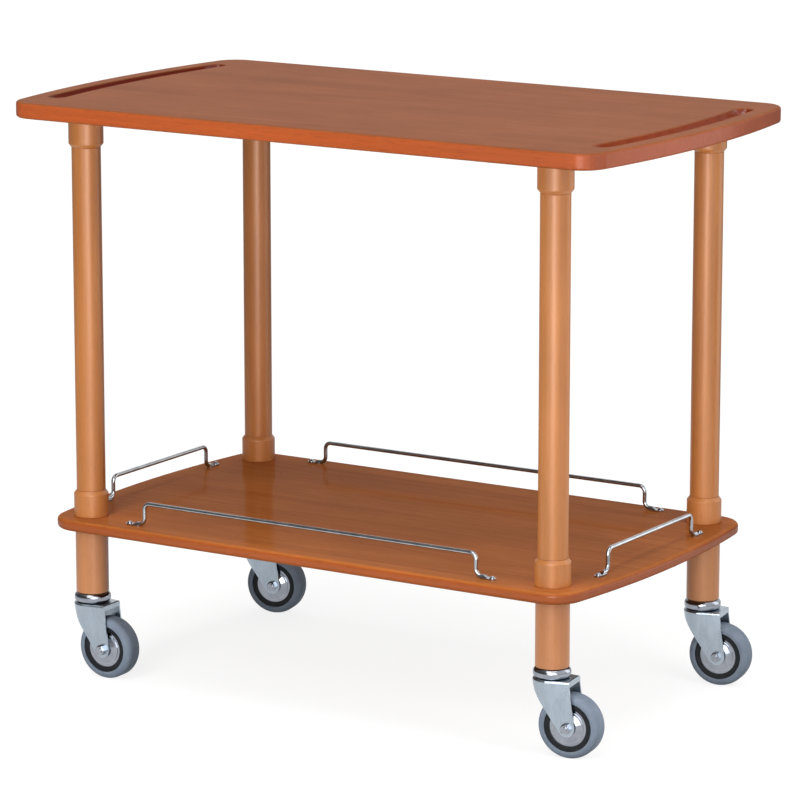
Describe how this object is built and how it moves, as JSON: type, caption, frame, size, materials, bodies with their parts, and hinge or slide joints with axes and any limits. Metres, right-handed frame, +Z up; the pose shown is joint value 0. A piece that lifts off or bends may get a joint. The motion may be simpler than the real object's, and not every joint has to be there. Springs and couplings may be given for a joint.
{
  "type": "serving trolley",
  "caption": "Wooden serving trolley: a top board with grip grooves in its bowed ends, a lower shelf with low wire rails, turned posts with collars, and swivel casters with grey tyres.",
  "frame": {"origin": "on the floor under the middle of the trolley", "axes": "+X along the length to the right end, +Y to the back, +Z up"},
  "size_m": [1, 0.564, 0.843],
  "materials": {
    "wood_top": "satin varnish",
    "wood_shelf": "gloss varnish",
    "wood_post": "satin varnish",
    "chrome_wire": "bright plated",
    "zinc_steel": "zinc plated",
    "grey_rubber": "matt",
    "black_plastic": "matt"
  },
  "bodies": {
    "trolley": {"top_board": "wood_top", "lower_shelf": "wood_shelf", "post_front_left": "wood_post", "upper_collar_front_left": "wood_post", "lower_collar_front_left": "wood_post", "leg_front_left": "wood_post", "post_front_right": "wood_post", "upper_collar_front_right": "wood_post", "lower_collar_front_right": "wood_post", "leg_front_right": "wood_post", "post_back_left": "wood_post", "upper_collar_back_left": "wood_post", "lower_collar_back_left": "wood_post", "leg_back_left": "wood_post", "post_back_right": "wood_post", "upper_collar_back_right": "wood_post", "lower_collar_back_right": "wood_post", "leg_back_right": "wood_post", "rail_front": "chrome_wire", "rail_back": "chrome_wire", "rail_left": "chrome_wire", "rail_right": "chrome_wire", "rail_screws": "zinc_steel", "top_studs": "zinc_steel", "shelf_studs": "zinc_steel", "stem_sockets": "zinc_steel", "swivel_ring_front_left": "zinc_steel", "king_pin_front_left": "zinc_steel", "swivel_balls_front_left": "zinc_steel", "swivel_ring_front_right": "zinc_steel", "king_pin_front_right": "zinc_steel", "swivel_balls_front_right": "zinc_steel", "swivel_ring_back_left": "zinc_steel", "king_pin_back_left": "zinc_steel", "swivel_balls_back_left": "zinc_steel", "swivel_ring_back_right": "zinc_steel", "king_pin_back_right": "zinc_steel", "swivel_balls_back_right": "zinc_steel"},
    "caster_front_left": {"fork_front_left": "zinc_steel", "axle_front_left": "zinc_steel"},
    "wheel_front_left": {"tyre_front_left": "grey_rubber", "wheel_core_front_left": "black_plastic", "dust_caps_front_left": "zinc_steel"},
    "caster_front_right": {"fork_front_right": "zinc_steel", "axle_front_right": "zinc_steel"},
    "wheel_front_right": {"tyre_front_right": "grey_rubber", "wheel_core_front_right": "black_plastic", "dust_caps_front_right": "zinc_steel"},
    "caster_back_left": {"fork_back_left": "zinc_steel", "axle_back_left": "zinc_steel"},
    "wheel_back_left": {"tyre_back_left": "grey_rubber", "wheel_core_back_left": "black_plastic", "dust_caps_back_left": "zinc_steel"},
    "caster_back_right": {"fork_back_right": "zinc_steel", "axle_back_right": "zinc_steel"},
    "wheel_back_right": {"tyre_back_right": "grey_rubber", "wheel_core_back_right": "black_plastic", "dust_caps_back_right": "zinc_steel"}
  },
  "joints": [
    {"name": "swivel_front_left", "type": "hinge", "parent": "trolley", "child": "caster_front_left", "pos_m": [-0.386, -0.217, 0.11], "axis": [0, 0, 1], "continuous": true},
    {"name": "roll_front_left", "type": "hinge", "parent": "caster_front_left", "child": "wheel_front_left", "pos_m": [-0.357, -0.21649, 0.045], "axis": [0.0175, -0.9998, 0], "continuous": true},
    {"name": "swivel_front_right", "type": "hinge", "parent": "trolley", "child": "caster_front_right", "pos_m": [0.386, -0.217, 0.11], "axis": [0, 0, 1], "continuous": true},
    {"name": "roll_front_right", "type": "hinge", "parent": "caster_front_right", "child": "wheel_front_right", "pos_m": [0.41472, -0.21296, 0.045], "axis": [0.1392, -0.9903, 0], "continuous": true},
    {"name": "swivel_back_left", "type": "hinge", "parent": "trolley", "child": "caster_back_left", "pos_m": [-0.386, 0.217, 0.11], "axis": [0, 0, 1], "continuous": true},
    {"name": "roll_back_left", "type": "hinge", "parent": "caster_back_left", "child": "wheel_back_left", "pos_m": [-0.35763, 0.22303, 0.045], "axis": [0.2079, -0.9781, 0], "continuous": true},
    {"name": "swivel_back_right", "type": "hinge", "parent": "trolley", "child": "caster_back_right", "pos_m": [0.386, 0.217, 0.11], "axis": [0, 0, 1], "continuous": true},
    {"name": "roll_back_right", "type": "hinge", "parent": "caster_back_right", "child": "wheel_back_right", "pos_m": [0.41464, 0.22154, 0.045], "axis": [0.1564, -0.9877, 0], "continuous": true}
  ]
}
